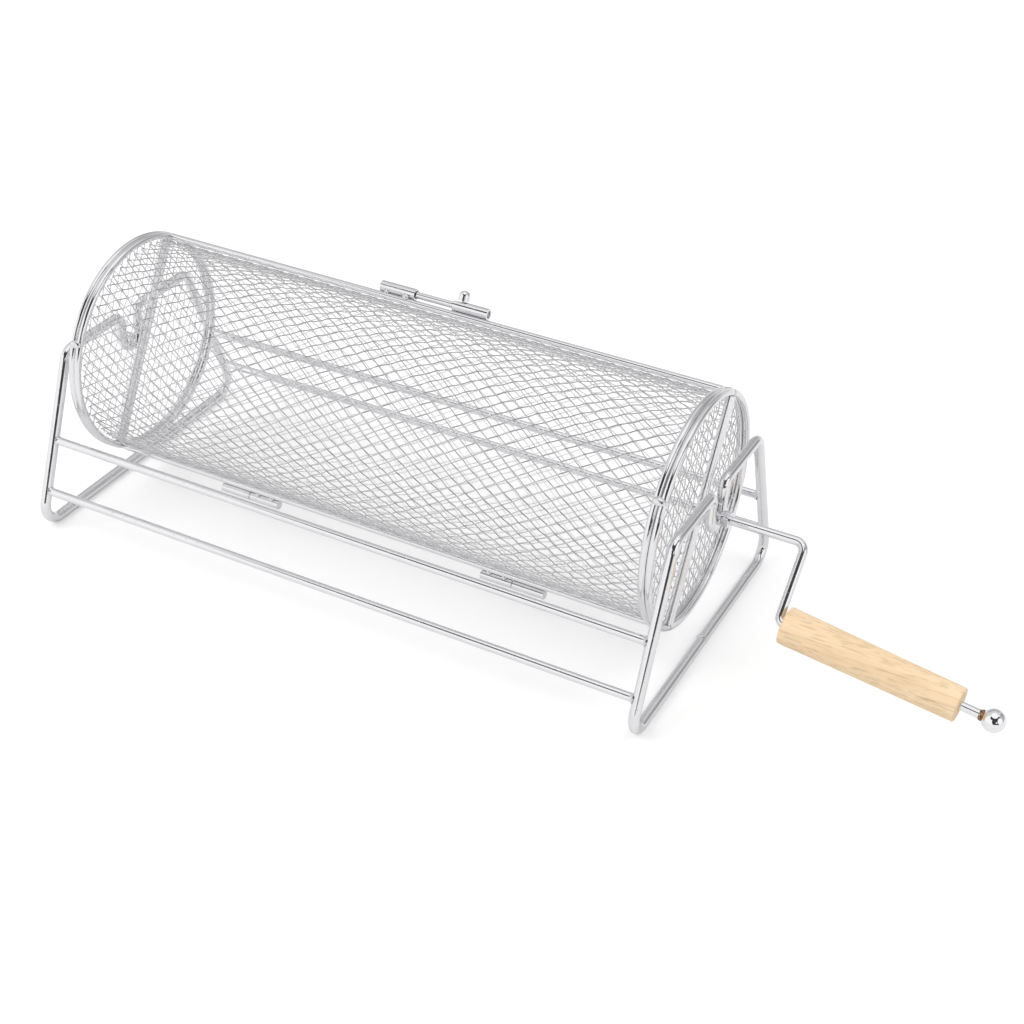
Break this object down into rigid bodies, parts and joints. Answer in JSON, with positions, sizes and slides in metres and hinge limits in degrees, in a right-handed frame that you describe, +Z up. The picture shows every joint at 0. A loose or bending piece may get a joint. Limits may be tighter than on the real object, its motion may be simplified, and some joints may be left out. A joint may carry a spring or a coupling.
{
  "type": "grill basket",
  "caption": "Rotating wire-mesh drum in a bent-wire stand, split into a tray and a hinged lid with a slide bolt, turned by a wire crank with a wooden grip.",
  "frame": {"origin": "on the surface the stand rests on, under the middle of the drum", "axes": "+X along the drum's axis towards the crank, +Y to the back, +Z up"},
  "size_m": [0.4677, 0.1556, 0.1286],
  "materials": {
    "stand_wire": "bright plated wire",
    "drum_wire": "bright plated wire",
    "mesh_wire": "bright crimped wire mesh",
    "fittings": "bright plated sleeves and pins",
    "ball": "polished",
    "wood": "bare pale beech, lightly sanded"
  },
  "bodies": {
    "stand": {"end_frame_left": "stand_wire", "end_frame_right": "stand_wire", "rail_back_lower": "stand_wire", "rail_back_upper": "stand_wire", "rail_front_lower": "stand_wire", "rail_front_upper": "stand_wire"},
    "basket": {"axle_boss_left": "fittings", "axle_boss_right": "fittings", "axle_plain": "drum_wire", "crank_rod": "drum_wire", "end_ball": "ball", "hinge_pins": "fittings", "latch_guide": "fittings", "stop_collar": "fittings", "tray_end_bar_left": "drum_wire", "tray_end_bar_right": "drum_wire", "tray_end_mesh_left": "mesh_wire", "tray_end_mesh_right": "mesh_wire", "tray_hinge_bar": "drum_wire", "tray_hinge_knuckles": "fittings", "tray_inner_ring_left": "drum_wire", "tray_inner_ring_right": "drum_wire", "tray_latch_bar": "drum_wire", "tray_outer_ring_left": "drum_wire", "tray_outer_ring_right": "drum_wire", "tray_side_mesh": "mesh_wire"},
    "lid": {"lid_end_bar_left": "drum_wire", "lid_end_bar_right": "drum_wire", "lid_end_mesh_left": "mesh_wire", "lid_end_mesh_right": "mesh_wire", "lid_hinge_bar": "drum_wire", "lid_hinge_knuckles": "fittings", "lid_inner_ring_left": "drum_wire", "lid_inner_ring_right": "drum_wire", "lid_latch_bar": "drum_wire", "lid_outer_ring_left": "drum_wire", "lid_outer_ring_right": "drum_wire", "lid_side_mesh": "mesh_wire", "latch_keeper": "fittings"},
    "bolt": {"latch_bolt": "fittings", "latch_knob": "fittings"},
    "grip": {"wooden_grip": "wood"}
  },
  "joints": [
    {"name": "drum_spin", "type": "hinge", "parent": "stand", "child": "basket", "pos_m": [0, 0, 0.071], "axis": [1, 0, 0], "continuous": true},
    {"name": "lid_hinge", "type": "hinge", "parent": "basket", "child": "lid", "pos_m": [0, -0.02769, 0.02105], "axis": [1, 0, 0], "range_deg": [0, 10]},
    {"name": "bolt_slide", "type": "slide", "parent": "basket", "child": "bolt", "axis": [-1, 0, 0], "range_m": [0, 0.012]},
    {"name": "grip_spin", "type": "hinge", "parent": "basket", "child": "grip", "pos_m": [0.199, -0.02554, 0.04634], "axis": [0.9936, -0.0814, -0.0786], "continuous": true}
  ]
}
